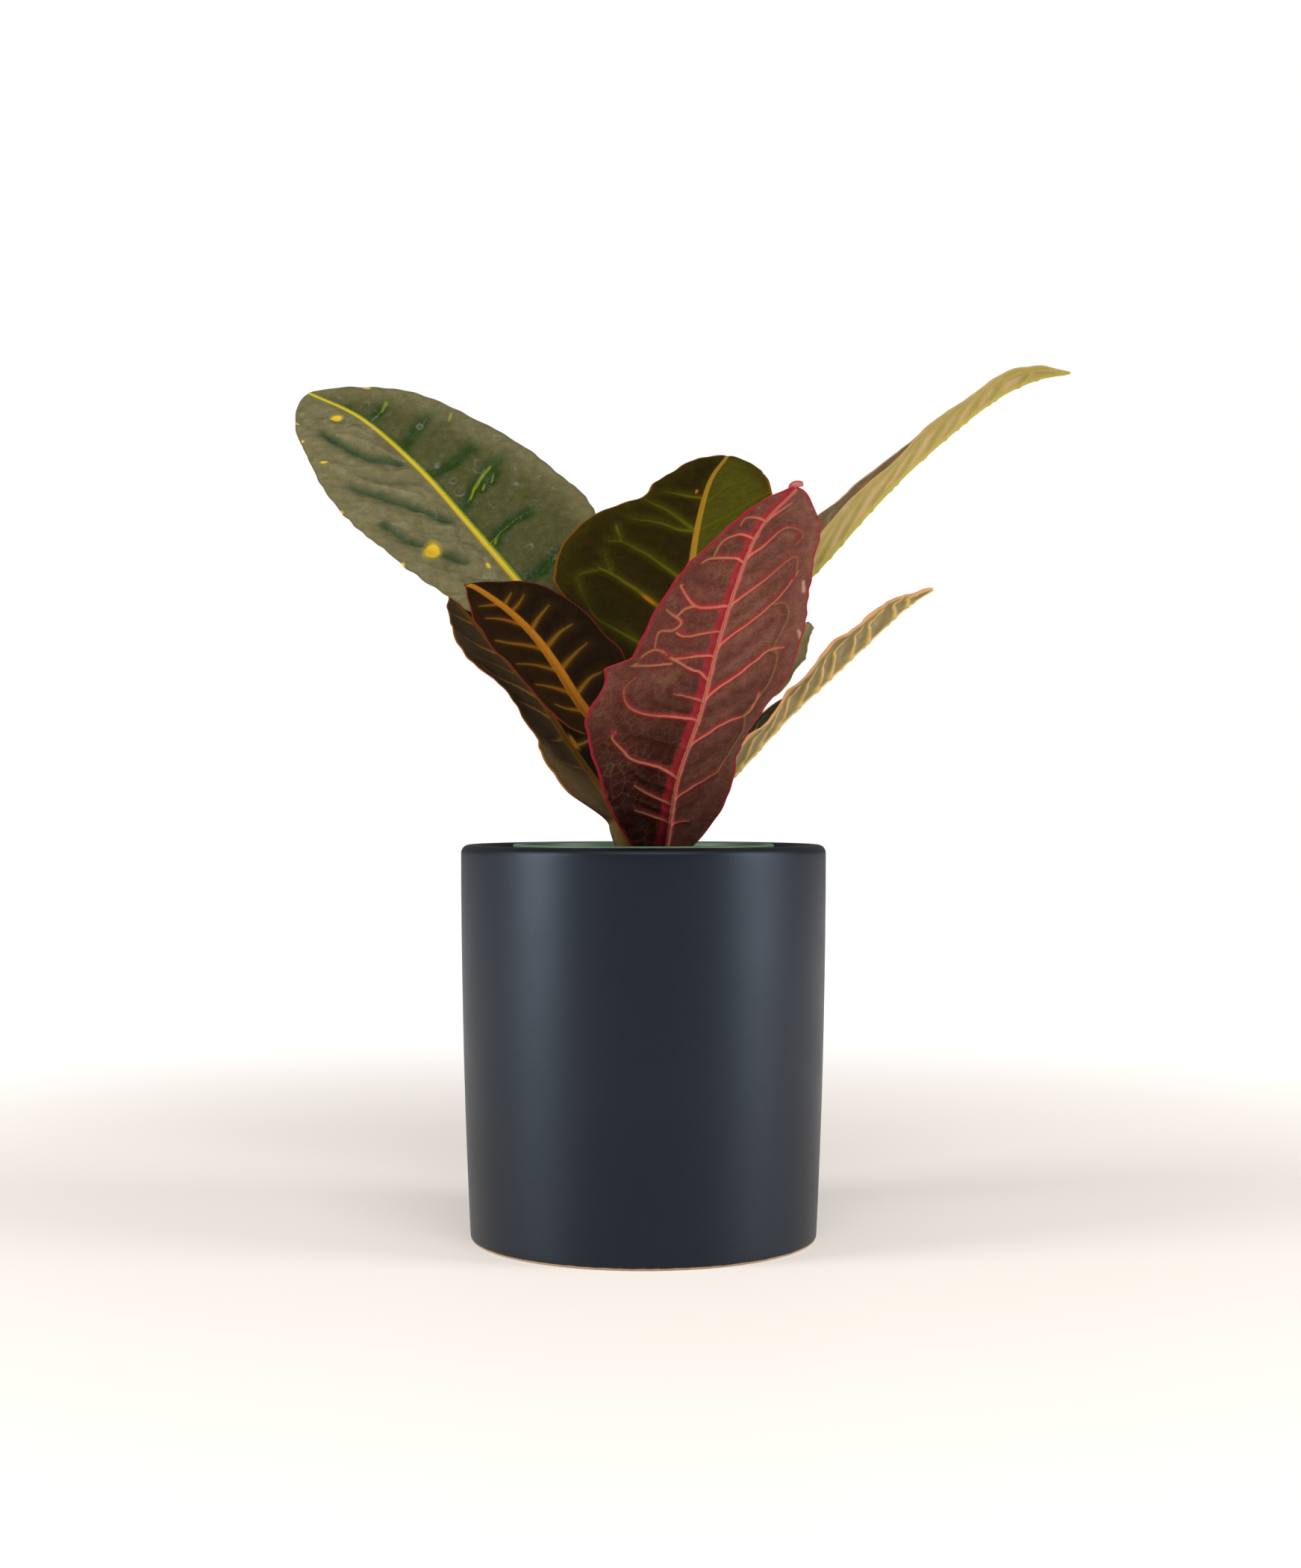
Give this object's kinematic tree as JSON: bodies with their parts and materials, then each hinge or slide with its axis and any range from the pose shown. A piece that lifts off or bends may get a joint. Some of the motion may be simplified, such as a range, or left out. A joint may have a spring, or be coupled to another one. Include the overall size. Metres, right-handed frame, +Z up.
{
  "type": "potted croton",
  "caption": "Croton in a matt dark ceramic cover pot: broad stalked leaves in green, red, olive and brown with bright veins fan out from a woody stem in a nursery pot of mix.",
  "frame": {"origin": "centre of the cover pot's flat foot", "axes": "+Z up along the pot's axis; +X to the right and +Y away, seen from the side where the red leaf leans towards the viewer"},
  "size_m": [0.2752, 0.2314, 0.3025],
  "materials": {
    "glazed_ceramic_pot": "satin-matt navy-charcoal glaze with a bare clay line at the foot",
    "nursery_plastic": "thin green moulded plastic",
    "potting_mix": "dark crumbly peat mix with pale grains",
    "stem_bark": "grey-brown bark with leaf scars",
    "green_leaf": "waxy, deep green with a yellow midrib and yellow spots",
    "olive_leaf": "waxy, dark olive with olive-yellow veins",
    "dark_leaf": "waxy, black-brown with an orange midrib and veins",
    "golden_veined_leaf": "waxy, grey-brown with golden veins",
    "red_leaf": "satin maroon underside with pink and peach veins and a crimson edge",
    "yellow_olive_leaf": "waxy yellow-olive with a yellow-green midrib",
    "grey_olive_leaf": "waxy grey-olive with yellow veins and an orange-tan edge",
    "rear_leaf": "waxy grey-olive with a yellow-green edge",
    "young_leaf": "glossy yellow-green, still half rolled"
  },
  "bodies": {
    "root": {"ceramic_pot": "glazed_ceramic_pot", "nursery_pot": "nursery_plastic", "potting_mix": "potting_mix", "stem": "stem_bark", "leaf_green_upper_left": "green_leaf", "leaf_olive_back": "olive_leaf", "leaf_dark_orange_veined": "dark_leaf", "leaf_golden_lower_left": "golden_veined_leaf", "leaf_red_front": "red_leaf", "leaf_right_upper": "yellow_olive_leaf", "leaf_right_lower": "grey_olive_leaf", "leaf_right_rear": "rear_leaf", "leaf_young_tall": "young_leaf", "leaf_young_short": "young_leaf"}
  },
  "joints": []
}
